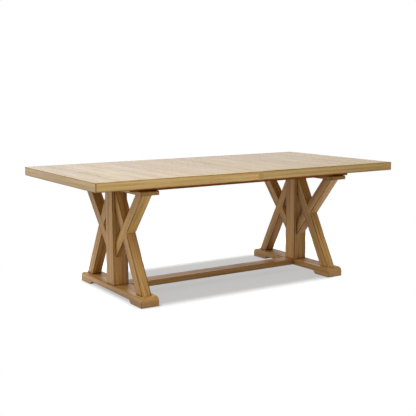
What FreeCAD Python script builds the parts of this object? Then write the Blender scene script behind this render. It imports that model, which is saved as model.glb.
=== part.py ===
"""Trestle dining table with an extending top.

Millimetres, +Z up, origin on the floor under the middle of the table, +X along its length.
Two braced trestles and a stretcher carry two fixed bearers. The top is two equal halves
that slide apart along the bearers, held in step by two racks and one pinion.
"""
import FreeCAD
import Part
import math
import os

V = FreeCAD.Vector

# Table top
TOP_LENGTH = 2200.0
TOP_WIDTH = 1100.0
TABLE_HEIGHT = 775.0
EDGE_DEPTH = 54.0
EDGE_ROUND = 3.0
LIPPING_THICK = 20.0
SEAM_RAIL_THICK = 18.0
SEAM_GAP = 0.5
BOARD_THICK = 28.0
BOARDS_PER_HALF = 8
BOARD_BEVEL = 0.8
TONGUE_THICK = 8.0
TONGUE_LENGTH = 8.0
TONGUE_ROOM = 0.4

# Alignment pins across the seam
PIN_RADIUS = 4.0
PIN_LENGTH = 24.0
PIN_COUNT = 4
PIN_END_INSET = 59.0
PIN_POINT = 1.5
PIN_CLEARANCE = 0.3

# Trestles
TRESTLE_SPACING = 1430.0
FOOT_LENGTH = 864.0
FOOT_WIDTH = 120.0
FOOT_TOP = 59.0
FOOT_END_RADIUS = 29.0
FOOT_PAD_LENGTH = 139.0
FOOT_ARCH_HEIGHT = 20.0
FOOT_ARCH_SLOPE = 20.0
POST_WIDTH = 103.0
POST_TENON_WIDTH = 60.0
POST_TENON_IN_FOOT = 28.0
POST_TENON_IN_CAP = 18.0
CAP_LENGTH = 904.0
CAP_WIDTH = 120.0
CAP_THICK = 24.0
CAP_ROUND = 4.0
EDGE_EASE = 2.0

# Braces: a rising one from the foot to the top of the post, a falling one from the cap to the post
BRACE_THICK = 64.0
BRACE_WIDTH = 66.0
BRACE_HOUSING = 8.0
RISING_FOOT_SETBACK = 79.0
RISING_POST_DROP = 61.0
FALLING_CAP_SETBACK = 79.0
FALLING_POST_RISE = 229.0

# Stretcher and its screws
STRETCHER_WIDTH = 100.0
STRETCHER_HEIGHT = 37.0
STRETCHER_TENON_LENGTH = 25.0
STRETCHER_TENON_WIDTH = 70.0
STRETCHER_TENON_THICK = 16.0
STRETCHER_SCREW_RADIUS = 2.5
STRETCHER_SCREW_HEAD_RADIUS = 5.0
STRETCHER_SCREW_HEAD_HEIGHT = 3.0
STRETCHER_SCREW_BITE = 4.0
STRETCHER_SCREW_SPREAD = 40.0

# Floor glides
GLIDE_RADIUS = 12.0
GLIDE_HEIGHT = 2.0
GLIDE_ROUND = 1.0
GLIDE_STEM_RADIUS = 3.0
GLIDE_STEM_LENGTH = 12.0
GLIDE_SPREAD = 70.0
GLIDE_INSETS = (40.0, 110.0)

# Slides: fixed bearers on the caps and runners under each half
BEARER_WIDTH = 40.0
BEARER_HEIGHT = 54.0
BEARER_OVERHANG = 41.0
BEARER_SETBACK = 27.0
BEARER_TOP_GAP = 1.0
GROOVE_DEPTH = 14.0
GROOVE_HEIGHT = 16.0
GROOVE_LIP = 26.0
SLIDE_CLEARANCE = 0.3
RUNNER_WIDTH = 30.0
RUNNER_SKIRT = 4.0
RUNNER_FACE_GAP = 1.0
RUNNER_START = 40.0
RUNNER_END_INSET = 30.0
SEAM_NOTCH_ROOM = 10.0
TRAVEL = 250.0

# Bolts that hold the bearers down on the caps
BEARER_BOLT_RADIUS = 4.0
BEARER_BOLT_BITE = 30.0
BEARER_BOLT_HEAD_RADIUS = 7.0
BEARER_BOLT_HEAD_HEIGHT = 5.5
BEARER_BOLT_HEAD_SIDES = 6
BEARER_BOLT_SPREAD = 88.0

# Gear that keeps the two halves in step
GEAR_MODULE = 3.0
GEAR_TEETH = 20
PRESSURE_ANGLE = math.radians(20.0)
GEAR_DEDENDUM = 1.25
GEAR_BACKLASH = 0.4
RACK_THICK = 18.0
RACK_BACK = 12.0
RACK_END_STOP = 20.0
RACK_CLEARANCE = 4.0
RACK_MOUNT_START = 40.0
RACK_MOUNT_LENGTH = 250.0
BRIDGE_WIDTH = 120.0
BRIDGE_HOUSING = 10.0
BRIDGE_CLEARANCE = 2.0
PIVOT_RADIUS = 6.0
PIVOT_SHANK_RADIUS = 4.0
PIVOT_SHANK_LENGTH = 11.0
PIVOT_HEAD_RADIUS = 10.0
PIVOT_HEAD_HEIGHT = 4.0
RUNNING_CLEARANCE = 0.05
END_PLAY = 0.3
PINION_HUB_RADIUS = 14.0

# Seam locks: a hook on the left half and a headed stud on the right one
LOCK_OFFSET = 200.0
LOCK_SPAN = 56.0
LOCK_PLATE_LENGTH = 44.0
LOCK_PLATE_WIDTH = 32.0
LOCK_PLATE_THICK = 2.0
LOCK_PLATE_ROUND = 5.0
LOCK_STUD_RADIUS = 3.0
LOCK_STUD_HEAD_RADIUS = 6.0
LOCK_PIVOT_RADIUS = 4.0
LOCK_PIVOT_HEAD_RADIUS = 7.0
LOCK_HEAD_HEIGHT = 2.0
HOOK_THICK = 3.0
HOOK_DROP = 2.0
HOOK_RING_RADIUS = 12.0
HOOK_SHANK_WIDTH = 12.0
HOOK_RIM = 8.0
HOOK_SLOT_CLEARANCE = 0.5
HOOK_HEEL_ANGLE = 16.0
HOOK_STOP_ANGLE = 3.0
HOOK_TOE_ANGLE = 11.0
HOOK_REST_ANGLE = -90.0

# Levels and places worked out from the sizes above
BOARD_BOTTOM = TABLE_HEIGHT - BOARD_THICK
EDGE_BOTTOM = TABLE_HEIGHT - EDGE_DEPTH
TONGUE_LEVEL = BOARD_BOTTOM + (BOARD_THICK - TONGUE_THICK) / 2
TONGUE_TOP = TONGUE_LEVEL + TONGUE_THICK
GROOVE_ROOM = TONGUE_LENGTH + TONGUE_ROOM
FIELD_HALF = TOP_WIDTH / 2 - LIPPING_THICK
PIN_SPAN = TOP_WIDTH - 2 * PIN_END_INSET
FIELD_START = SEAM_GAP / 2 + SEAM_RAIL_THICK
FIELD_END = TOP_LENGTH / 2 - LIPPING_THICK
CAP_TOP = BOARD_BOTTOM - BEARER_TOP_GAP - BEARER_HEIGHT
CAP_BOTTOM = CAP_TOP - CAP_THICK
FOOT_BOTTOM = GLIDE_HEIGHT
ARCH_LEVEL = FOOT_BOTTOM + FOOT_ARCH_HEIGHT
TRESTLE_X = TRESTLE_SPACING / 2
FOOT_INNER = TRESTLE_X - FOOT_WIDTH / 2
BEARER_OUTER = CAP_LENGTH / 2 - BEARER_SETBACK
BEARER_INNER = BEARER_OUTER - BEARER_WIDTH
BEARER_END = TRESTLE_X + CAP_WIDTH / 2 + BEARER_OVERHANG
GROOVE_LEVEL = CAP_TOP + GROOVE_LIP
RUNNER_BOTTOM = GROOVE_LEVEL - RUNNER_SKIRT
RUNNER_OUTER = BEARER_INNER - RUNNER_FACE_GAP
RUNNER_END = BEARER_END - RUNNER_END_INSET
BRIDGE_TOP = RUNNER_BOTTOM - BRIDGE_CLEARANCE
RACK_BOTTOM = BRIDGE_TOP + RACK_CLEARANCE
RACK_TOP = RACK_BOTTOM + RACK_THICK
PITCH_RADIUS = GEAR_MODULE * GEAR_TEETH / 2
TOOTH_PITCH = math.pi * GEAR_MODULE
HOOK_TOP = BOARD_BOTTOM - LOCK_PLATE_THICK - HOOK_DROP
HOOK_BOTTOM = HOOK_TOP - HOOK_THICK
LOCK_HEAD_TOP = HOOK_BOTTOM - END_PLAY

UP = V(0, 0, 1)
FRONT_BACK = (("front", -1), ("back", 1))


def block(x, y, z):
    """A box between two limits along each axis."""
    return Part.makeBox(x[1] - x[0], y[1] - y[0], z[1] - z[0], V(x[0], y[0], z[0]))


def prism(points, run):
    """A closed polygon pushed along a vector."""
    return Part.Face(Part.makePolygon(points + points[:1])).extrude(run)


def cylinder(radius, x, y, z):
    """An upright cylinder between two levels."""
    return Part.makeCylinder(radius, z[1] - z[0], V(x, y, z[0]))


def eased_rectangle(width, height, ease):
    """Corner points of a rectangle about the origin, with its corners cut by a small ease."""
    a = width / 2
    b = height / 2
    return [(-a + ease, -b), (a - ease, -b), (a, -b + ease), (a, b - ease),
            (a - ease, b), (-a + ease, b), (-a, b - ease), (-a, -b + ease)]


def half_turn(shape):
    """The shape turned half round about the table's middle."""
    turned = shape.copy()
    turned.rotate(V(0, 0, 0), UP, 180)
    return turned


def mirrored_y(shape):
    """The shape mirrored from front to back."""
    return shape.mirror(V(0, 0, 0), V(0, 1, 0))


# Top: boards, lipping and seam rail of the right half

def top_envelope():
    """The closed top's outer form, with every outer edge rounded."""
    body = block((-TOP_LENGTH / 2, TOP_LENGTH / 2), (-TOP_WIDTH / 2, TOP_WIDTH / 2),
                 (EDGE_BOTTOM, TABLE_HEIGHT))
    return body.makeFillet(EDGE_ROUND, body.Edges)


def board(index):
    """One tongued and grooved board, with a tongue at both ends for the lipping."""
    width = (FIELD_END - FIELD_START) / BOARDS_PER_HALF
    inner = FIELD_START + index * width
    outer = inner + width
    reach = FIELD_HALF + TONGUE_LENGTH
    outline = [(inner, BOARD_BOTTOM), (outer, BOARD_BOTTOM), (outer, TONGUE_LEVEL),
               (outer + TONGUE_LENGTH, TONGUE_LEVEL), (outer + TONGUE_LENGTH, TONGUE_TOP),
               (outer, TONGUE_TOP), (outer, TABLE_HEIGHT - BOARD_BEVEL),
               (outer - BOARD_BEVEL, TABLE_HEIGHT), (inner + BOARD_BEVEL, TABLE_HEIGHT),
               (inner, TABLE_HEIGHT - BOARD_BEVEL), (inner, TONGUE_TOP),
               (inner + GROOVE_ROOM, TONGUE_TOP), (inner + GROOVE_ROOM, TONGUE_LEVEL),
               (inner, TONGUE_LEVEL)]
    plank = prism([V(x, -reach, z) for x, z in outline], V(0, 2 * reach, 0))
    shoulders = []
    for end in ((-reach, -FIELD_HALF), (FIELD_HALF, reach)):
        shoulders.append(block((inner, outer), end, (TONGUE_TOP, TABLE_HEIGHT)))
        shoulders.append(block((inner, outer), end, (BOARD_BOTTOM, TONGUE_LEVEL)))
        shoulders.append(block((outer, outer + TONGUE_LENGTH), end, (TONGUE_LEVEL, TONGUE_TOP)))
    return plank.cut(shoulders)


def side_lipping(envelope):
    """The front lipping of the right half: mitred at the outer corner, grooved for the boards."""
    face = -TOP_WIDTH / 2
    end = TOP_LENGTH / 2
    plan = [(FIELD_START, face), (end, face), (FIELD_END, -FIELD_HALF), (FIELD_START, -FIELD_HALF)]
    strip = prism([V(x, y, EDGE_BOTTOM) for x, y in plan], V(0, 0, EDGE_DEPTH))
    groove = block((FIELD_START, FIELD_END), (-FIELD_HALF - GROOVE_ROOM, -FIELD_HALF),
                   (TONGUE_LEVEL, TONGUE_TOP))
    return strip.common(envelope).cut(groove)


def end_lipping(envelope):
    """The right end's lipping: mitred at both corners, grooved for the last board."""
    face = TOP_WIDTH / 2
    end = TOP_LENGTH / 2
    plan = [(end, -face), (end, face), (FIELD_END, FIELD_HALF), (FIELD_END, -FIELD_HALF)]
    strip = prism([V(x, y, EDGE_BOTTOM) for x, y in plan], V(0, 0, EDGE_DEPTH))
    groove = block((FIELD_END, FIELD_END + GROOVE_ROOM), (-FIELD_HALF, FIELD_HALF),
                   (TONGUE_LEVEL, TONGUE_TOP))
    return strip.common(envelope).cut(groove)


def pin_places():
    """Y of each alignment pin along the seam."""
    step = PIN_SPAN / (PIN_COUNT - 1)
    return [-PIN_SPAN / 2 + index * step for index in range(PIN_COUNT)]


def pin_hole(y, radius, depth):
    """A hole drilled into the right seam rail from the seam."""
    level = BOARD_BOTTOM + BOARD_THICK / 2
    return Part.makeCylinder(radius, depth, V(0, y, level), V(1, 0, 0))


def seam_rail(envelope, hole_radius, hole_depth):
    """The rail along the right half's seam: deep at its ends, notched over the slides."""
    face = TOP_WIDTH / 2
    notch = BEARER_OUTER + SEAM_NOTCH_ROOM
    outline = [(-face, EDGE_BOTTOM), (-notch, EDGE_BOTTOM), (-notch, BOARD_BOTTOM), (notch, BOARD_BOTTOM),
               (notch, EDGE_BOTTOM), (face, EDGE_BOTTOM), (face, TABLE_HEIGHT), (-face, TABLE_HEIGHT)]
    rail = prism([V(SEAM_GAP / 2, y, z) for y, z in outline], V(SEAM_RAIL_THICK, 0, 0)).common(envelope)
    tongue = block((FIELD_START, FIELD_START + TONGUE_LENGTH), (-FIELD_HALF, FIELD_HALF),
                   (TONGUE_LEVEL, TONGUE_TOP))
    holes = [pin_hole(y, hole_radius, hole_depth) for y in pin_places()]
    return rail.fuse(tongue).removeSplitter().cut(holes)


def seam_pins():
    """Pointed pins, set in the right seam rail and standing out across the seam."""
    level = BOARD_BOTTOM + BOARD_THICK / 2
    pins = []
    for y in pin_places():
        body = Part.makeCylinder(PIN_RADIUS, PIN_LENGTH - PIN_POINT,
                                 V(PIN_LENGTH / 2, y, level), V(-1, 0, 0))
        point = Part.makeCone(PIN_RADIUS, PIN_RADIUS - PIN_POINT, PIN_POINT,
                              V(PIN_POINT - PIN_LENGTH / 2, y, level), V(-1, 0, 0))
        pins.append(body.fuse(point))
    return Part.makeCompound(pins)


# Trestle at the right end

def foot_blank():
    """The foot before its joints: round-topped ends, two pads and a low arch between them."""
    end = FOOT_LENGTH / 2
    pad = end - FOOT_PAD_LENGTH
    crown = end - FOOT_END_RADIUS
    spring = FOOT_TOP - FOOT_END_RADIUS
    bulge = FOOT_END_RADIUS * math.sqrt(0.5)
    x = FOOT_INNER

    def line(start, stop):
        return Part.makeLine(V(x, *start), V(x, *stop))

    def rounded_end(side):
        middle = V(x, side * (crown + bulge), spring + bulge)
        return Part.Arc(V(x, side * end, spring), middle, V(x, side * crown, FOOT_TOP)).toShape()

    edges = [line((-end, FOOT_BOTTOM), (-end, spring)), rounded_end(-1),
             line((-crown, FOOT_TOP), (crown, FOOT_TOP)), rounded_end(1),
             line((end, spring), (end, FOOT_BOTTOM)), line((end, FOOT_BOTTOM), (pad, FOOT_BOTTOM)),
             line((pad, FOOT_BOTTOM), (pad - FOOT_ARCH_SLOPE, ARCH_LEVEL)),
             line((pad - FOOT_ARCH_SLOPE, ARCH_LEVEL), (FOOT_ARCH_SLOPE - pad, ARCH_LEVEL)),
             line((FOOT_ARCH_SLOPE - pad, ARCH_LEVEL), (-pad, FOOT_BOTTOM)),
             line((-pad, FOOT_BOTTOM), (-end, FOOT_BOTTOM))]
    profile = Part.Face(Part.Wire(Part.__sortEdges__(edges)))
    blank = profile.extrude(V(FOOT_WIDTH, 0, 0))
    top_edges = [edge for edge in blank.Edges
                 if edge.BoundBox.XLength < EDGE_EASE and edge.BoundBox.ZMax > spring
                 and edge.BoundBox.YLength > EDGE_EASE]
    return blank.makeFillet(EDGE_EASE, top_edges)


def cap_blank():
    """The cap before its joints, flat on top with its other edges rounded."""
    half = CAP_LENGTH / 2
    body = block((TRESTLE_X - CAP_WIDTH / 2, TRESTLE_X + CAP_WIDTH / 2), (-half, half),
                 (CAP_BOTTOM, CAP_TOP))
    lower_edges = [edge for edge in body.Edges if edge.BoundBox.ZMin < CAP_TOP - CAP_THICK / 2]
    return body.makeFillet(CAP_ROUND, lower_edges)


def post_blank():
    """The post before its brace housings: eased corners and a square tenon at each end."""
    section = eased_rectangle(POST_WIDTH, POST_WIDTH, EDGE_EASE)
    shaft = prism([V(TRESTLE_X + a, b, FOOT_TOP) for a, b in section], V(0, 0, CAP_BOTTOM - FOOT_TOP))
    half = POST_TENON_WIDTH / 2
    tenon = block((TRESTLE_X - half, TRESTLE_X + half), (-half, half),
                  (FOOT_TOP - POST_TENON_IN_FOOT, CAP_BOTTOM + POST_TENON_IN_CAP))
    return shaft.fuse(tenon).removeSplitter()


def brace_bar(start, stop, ease):
    """A straight bar through two points of the trestle's plane, given as (Y, Z), and well past both."""
    along = V(0, stop[0] - start[0], stop[1] - start[1])
    along.normalize()
    across = V(0, -along.z, along.y)
    first = V(TRESTLE_X, start[0], start[1]) - along * TABLE_HEIGHT
    last = V(TRESTLE_X, stop[0], stop[1]) + along * TABLE_HEIGHT
    section = eased_rectangle(BRACE_THICK, BRACE_WIDTH, ease)
    return prism([first + V(a, 0, 0) + across * b for a, b in section], last - first)


def brace_space(low, high):
    """The space that a back brace may fill: from its housing in the post outwards, between two levels."""
    inner = POST_WIDTH / 2 - BRACE_HOUSING
    side = BRACE_THICK
    return block((TRESTLE_X - side, TRESTLE_X + side), (inner, max(FOOT_LENGTH, CAP_LENGTH)), (low, high))


def back_braces():
    """The rising and falling braces behind the post, halved into each other where they cross."""
    post_face = POST_WIDTH / 2
    rising_line = ((FOOT_LENGTH / 2 - RISING_FOOT_SETBACK, FOOT_TOP),
                   (post_face, CAP_BOTTOM - RISING_POST_DROP))
    falling_line = ((CAP_LENGTH / 2 - FALLING_CAP_SETBACK, CAP_BOTTOM),
                    (post_face, FOOT_TOP + FALLING_POST_RISE))
    rising_space = brace_space(FOOT_TOP - BRACE_HOUSING, CAP_BOTTOM)
    falling_space = brace_space(FOOT_TOP, CAP_BOTTOM + BRACE_HOUSING)
    side = (TRESTLE_X, TRESTLE_X + BRACE_THICK)
    other_side = (TRESTLE_X - BRACE_THICK, TRESTLE_X)
    reach = (0, CAP_LENGTH)
    height = (0, TABLE_HEIGHT)
    rising_lap = brace_bar(*falling_line, 0).common(block(side, reach, height))
    falling_lap = brace_bar(*rising_line, 0).common(block(other_side, reach, height))
    rising = brace_bar(*rising_line, EDGE_EASE).common(rising_space).cut(rising_lap)
    falling = brace_bar(*falling_line, EDGE_EASE).common(falling_space).cut(falling_lap)
    return rising, falling


def stretcher_blank():
    """The stretcher with eased edges and a stub tenon at each end."""
    level = ARCH_LEVEL + STRETCHER_HEIGHT / 2
    section = eased_rectangle(STRETCHER_WIDTH, STRETCHER_HEIGHT, EDGE_EASE)
    bar = prism([V(-FOOT_INNER, a, level + b) for a, b in section], V(2 * FOOT_INNER, 0, 0))
    reach = FOOT_INNER + STRETCHER_TENON_LENGTH
    half_width = STRETCHER_TENON_WIDTH / 2
    half_thick = STRETCHER_TENON_THICK / 2
    tenon = block((-reach, reach), (-half_width, half_width), (level - half_thick, level + half_thick))
    return bar.fuse(tenon).removeSplitter()


def stretcher_screws():
    """Two flush screws up through the right foot into the stretcher's tenon."""
    x = FOOT_INNER + STRETCHER_TENON_LENGTH / 2
    head_top = ARCH_LEVEL + STRETCHER_SCREW_HEAD_HEIGHT
    tip = ARCH_LEVEL + (STRETCHER_HEIGHT + STRETCHER_TENON_THICK) / 2 + STRETCHER_SCREW_BITE
    screws = []
    for side in (-1, 1):
        y = side * STRETCHER_SCREW_SPREAD / 2
        head = Part.makeCone(STRETCHER_SCREW_HEAD_RADIUS, STRETCHER_SCREW_RADIUS,
                             STRETCHER_SCREW_HEAD_HEIGHT, V(x, y, ARCH_LEVEL))
        shank = cylinder(STRETCHER_SCREW_RADIUS, x, y, (head_top, tip))
        screws.append(head.fuse(shank))
    return screws


def floor_glides():
    """Round glides under the right foot's pads, each with a stem driven into the pad."""
    glides = []
    for x in (TRESTLE_X - GLIDE_SPREAD / 2, TRESTLE_X + GLIDE_SPREAD / 2):
        for inset in GLIDE_INSETS:
            for side in (-1, 1):
                y = side * (FOOT_LENGTH / 2 - inset)
                disc = cylinder(GLIDE_RADIUS, x, y, (0, GLIDE_HEIGHT))
                rim = [edge for edge in disc.Edges if edge.BoundBox.ZMax < GLIDE_HEIGHT / 2]
                disc = disc.makeFillet(GLIDE_ROUND, rim)
                stem = cylinder(GLIDE_STEM_RADIUS, x, y, (GLIDE_HEIGHT, GLIDE_HEIGHT + GLIDE_STEM_LENGTH))
                glides.append(disc.fuse(stem))
    return glides


# Slides

def back_bearer():
    """The back bearer: a long bar on the caps with a groove along its inner face."""
    deep = BEARER_OUTER - (BEARER_WIDTH - GROOVE_DEPTH)
    top = CAP_TOP + BEARER_HEIGHT
    groove_top = GROOVE_LEVEL + GROOVE_HEIGHT
    outline = [(BEARER_INNER, CAP_TOP), (BEARER_OUTER, CAP_TOP), (BEARER_OUTER, top - EDGE_EASE),
               (BEARER_OUTER - EDGE_EASE, top), (BEARER_INNER, top), (BEARER_INNER, groove_top),
               (deep, groove_top), (deep, GROOVE_LEVEL), (BEARER_INNER, GROOVE_LEVEL)]
    return prism([V(-BEARER_END, y, z) for y, z in outline], V(2 * BEARER_END, 0, 0))


def back_runner():
    """The right half's back runner, with the tongue that rides in the bearer's groove."""
    inner = RUNNER_OUTER - RUNNER_WIDTH
    low = GROOVE_LEVEL + SLIDE_CLEARANCE
    high = GROOVE_LEVEL + GROOVE_HEIGHT - SLIDE_CLEARANCE
    tip = BEARER_INNER + GROOVE_DEPTH - RUNNER_FACE_GAP
    outline = [(inner, RUNNER_BOTTOM), (RUNNER_OUTER, RUNNER_BOTTOM), (RUNNER_OUTER, low), (tip, low),
               (tip, high), (RUNNER_OUTER, high), (RUNNER_OUTER, BOARD_BOTTOM), (inner, BOARD_BOTTOM)]
    return prism([V(RUNNER_START, y, z) for y, z in outline], V(RUNNER_END - RUNNER_START, 0, 0))


def bearer_bolts():
    """Bolts up through the right cap into both bearers, their hex heads let in flush below."""
    y_middle = BEARER_OUTER - (BEARER_WIDTH - GROOVE_DEPTH) / 2
    head_top = CAP_BOTTOM + BEARER_BOLT_HEAD_HEIGHT
    bolts = []
    for x in (TRESTLE_X - BEARER_BOLT_SPREAD / 2, TRESTLE_X + BEARER_BOLT_SPREAD / 2):
        for y in (-y_middle, y_middle):
            corners = []
            for index in range(BEARER_BOLT_HEAD_SIDES):
                angle = math.tau * index / BEARER_BOLT_HEAD_SIDES
                corners.append(V(x + BEARER_BOLT_HEAD_RADIUS * math.cos(angle),
                                 y + BEARER_BOLT_HEAD_RADIUS * math.sin(angle), CAP_BOTTOM))
            head = prism(corners, V(0, 0, BEARER_BOLT_HEAD_HEIGHT))
            shank = cylinder(BEARER_BOLT_RADIUS, x, y, (head_top, CAP_TOP + BEARER_BOLT_BITE))
            bolts.append(head.fuse(shank))
    return bolts


# Rack and pinion

def involute(angle):
    """The involute function of a pressure angle."""
    return math.tan(angle) - angle


def flank_angle(radius):
    """Half the angle that a pinion tooth spans at a radius on its involute flank."""
    base = PITCH_RADIUS * math.cos(PRESSURE_ANGLE)
    return math.pi / (2 * GEAR_TEETH) + involute(PRESSURE_ANGLE) - involute(math.acos(base / radius))


def pinion():
    """The pinion: involute teeth, a hub that stands on the bridge and a bore for its pivot."""
    base = PITCH_RADIUS * math.cos(PRESSURE_ANGLE)
    tip = PITCH_RADIUS + GEAR_MODULE
    root = PITCH_RADIUS - GEAR_DEDENDUM * GEAR_MODULE
    middle = (base + tip) / 2
    step = 2 * math.pi / GEAR_TEETH

    def point(radius, angle):
        return V(radius * math.cos(angle), radius * math.sin(angle), RACK_BOTTOM)

    edges = []
    for index in range(GEAR_TEETH):
        centre = index * step
        for side in (-1, 1):
            foot = centre + side * flank_angle(base)
            edges.append(Part.makeLine(point(root, foot), point(base, foot)))
            edges.append(Part.Arc(point(base, foot), point(middle, centre + side * flank_angle(middle)),
                                  point(tip, centre + side * flank_angle(tip))).toShape())
        edges.append(Part.Arc(point(tip, centre - flank_angle(tip)), point(tip, centre),
                              point(tip, centre + flank_angle(tip))).toShape())
        gap_start = centre + flank_angle(base)
        gap_end = centre + step - flank_angle(base)
        edges.append(Part.Arc(point(root, gap_start), point(root, (gap_start + gap_end) / 2),
                              point(root, gap_end)).toShape())
    wheel = Part.Face(Part.Wire(Part.__sortEdges__(edges))).extrude(V(0, 0, RACK_THICK))
    hub = cylinder(PINION_HUB_RADIUS, 0, 0, (BRIDGE_TOP + END_PLAY, RACK_BOTTOM))
    bore = cylinder(PIVOT_RADIUS + RUNNING_CLEARANCE, 0, 0, (BRIDGE_TOP, RACK_TOP))
    return wheel.fuse(hub).cut(bore)


def right_rack():
    """The right half's rack: teeth reaching past the seam, and a thick end fixed under the boards."""
    tip_line = GEAR_MODULE - PITCH_RADIUS
    root_line = -PITCH_RADIUS - GEAR_DEDENDUM * GEAR_MODULE
    back_line = root_line - RACK_BACK
    slope = math.tan(PRESSURE_ANGLE)
    half_gap = (TOOTH_PITCH / 2 + GEAR_BACKLASH) / 2
    half_mouth = half_gap + GEAR_MODULE * slope
    half_floor = half_gap - GEAR_DEDENDUM * GEAR_MODULE * slope
    pinion_tip = PITCH_RADIUS + GEAR_MODULE
    pinion_reach = math.sqrt(pinion_tip ** 2 - tip_line ** 2)
    first = -math.ceil(pinion_reach / TOOTH_PITCH)
    last = math.ceil((TRAVEL + pinion_reach) / TOOTH_PITCH)
    far_end = -last * TOOTH_PITCH - half_mouth - RACK_END_STOP
    mount_end = RACK_MOUNT_START + RACK_MOUNT_LENGTH
    outline = [(far_end, back_line), (mount_end, back_line), (mount_end, tip_line)]
    for index in range(first, last + 1):
        middle = -index * TOOTH_PITCH
        outline += [(middle + half_mouth, tip_line), (middle + half_floor, root_line),
                    (middle - half_floor, root_line), (middle - half_mouth, tip_line)]
    outline.append((far_end, tip_line))
    bar = prism([V(x, y, RACK_BOTTOM) for x, y in outline], V(0, 0, RACK_THICK))
    mount = block((RACK_MOUNT_START, mount_end), (back_line, tip_line), (RACK_TOP, BOARD_BOTTOM))
    return bar.fuse(mount).removeSplitter()


def gear_bridge():
    """The board between the bearers that carries the pinion."""
    reach = BEARER_INNER + BRIDGE_HOUSING
    section = eased_rectangle(BRIDGE_WIDTH, BRIDGE_TOP - CAP_TOP, EDGE_EASE)
    level = (CAP_TOP + BRIDGE_TOP) / 2
    return prism([V(a, -reach, level + b) for a, b in section], V(0, 2 * reach, 0))


def pinion_pivot():
    """The shoulder screw that the pinion turns on."""
    shoulder_top = RACK_TOP + END_PLAY
    shank = cylinder(PIVOT_SHANK_RADIUS, 0, 0, (BRIDGE_TOP - PIVOT_SHANK_LENGTH, BRIDGE_TOP))
    shoulder = cylinder(PIVOT_RADIUS, 0, 0, (BRIDGE_TOP, shoulder_top))
    head = cylinder(PIVOT_HEAD_RADIUS, 0, 0, (shoulder_top, shoulder_top + PIVOT_HEAD_HEIGHT))
    return shank.fuse([shoulder, head])


# Seam locks

def headed_plate(x, y, stud_radius, head_radius):
    """A round-cornered plate under the boards with a headed stud hanging from it."""
    half_width = LOCK_PLATE_WIDTH / 2
    half_length = LOCK_PLATE_LENGTH / 2
    plate_bottom = BOARD_BOTTOM - LOCK_PLATE_THICK
    plate = block((x - half_width, x + half_width), (y - half_length, y + half_length),
                  (plate_bottom, BOARD_BOTTOM))
    corners = [edge for edge in plate.Edges if edge.BoundBox.ZLength > LOCK_PLATE_THICK / 2]
    plate = plate.makeFillet(LOCK_PLATE_ROUND, corners)
    stud = cylinder(stud_radius, x, y, (LOCK_HEAD_TOP, plate_bottom))
    head = cylinder(head_radius, x, y, (LOCK_HEAD_TOP - LOCK_HEAD_HEIGHT, LOCK_HEAD_TOP))
    return plate.fuse([stud, head])


def hook(y):
    """A lock hook at rest, turned clear of the seam; its curved slot closes round the stud."""
    pivot = V(-LOCK_SPAN / 2, y, HOOK_BOTTOM)
    half_slot = LOCK_STUD_RADIUS + HOOK_SLOT_CLEARANCE

    def sector(radius, start, stop):
        wedge = Part.makeCylinder(radius, HOOK_THICK, pivot, UP, stop - start)
        wedge.rotate(pivot, UP, start)
        return wedge

    inner = LOCK_SPAN - half_slot
    outer = LOCK_SPAN + half_slot
    slot_end = Part.makeCylinder(half_slot, HOOK_THICK, pivot + V(LOCK_SPAN, 0, 0))
    slot_end.rotate(pivot, UP, -HOOK_STOP_ANGLE)
    mouth = 2 * HOOK_TOE_ANGLE
    slot = sector(outer, -HOOK_STOP_ANGLE, mouth).cut(sector(inner, -HOOK_HEEL_ANGLE, 2 * mouth))
    claw = sector(outer + HOOK_RIM, -HOOK_HEEL_ANGLE, HOOK_TOE_ANGLE)
    claw = claw.cut(sector(inner - HOOK_RIM, -2 * HOOK_HEEL_ANGLE, mouth))
    ring = Part.makeCylinder(HOOK_RING_RADIUS, HOOK_THICK, pivot)
    half_shank = HOOK_SHANK_WIDTH / 2
    shank_end = pivot.x + inner - HOOK_RIM / 2
    shank = block((pivot.x, shank_end), (y - half_shank, y + half_shank), (HOOK_BOTTOM, HOOK_TOP))
    eye = Part.makeCylinder(LOCK_PIVOT_RADIUS + RUNNING_CLEARANCE, HOOK_THICK, pivot)
    lever = ring.fuse([shank, claw]).removeSplitter().cut([slot, slot_end, eye])
    lever.rotate(pivot, UP, HOOK_REST_ANGLE)
    return lever


def export(name, shape):
    """Write one node."""
    shape.exportStep("parts/" + name + ".step")


def build_top():
    """Boards, lipping, seam rails and pins of both halves."""
    envelope = top_envelope()
    for index in range(BOARDS_PER_HALF):
        plank = board(index)
        export("right_board_%d" % (index + 1), plank)
        export("left_board_%d" % (index + 1), half_turn(plank))
    front = side_lipping(envelope)
    back = mirrored_y(front)
    end = end_lipping(envelope)
    export("right_front_lipping", front)
    export("right_back_lipping", back)
    export("right_end_lipping", end)
    export("left_front_lipping", half_turn(back))
    export("left_back_lipping", half_turn(front))
    export("left_end_lipping", half_turn(end))
    socket_depth = PIN_LENGTH / 2 + TONGUE_ROOM
    export("right_seam_rail", seam_rail(envelope, PIN_RADIUS, PIN_LENGTH / 2))
    export("left_seam_rail", half_turn(seam_rail(envelope, PIN_RADIUS + PIN_CLEARANCE, socket_depth)))
    export("seam_pins", seam_pins())


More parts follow.
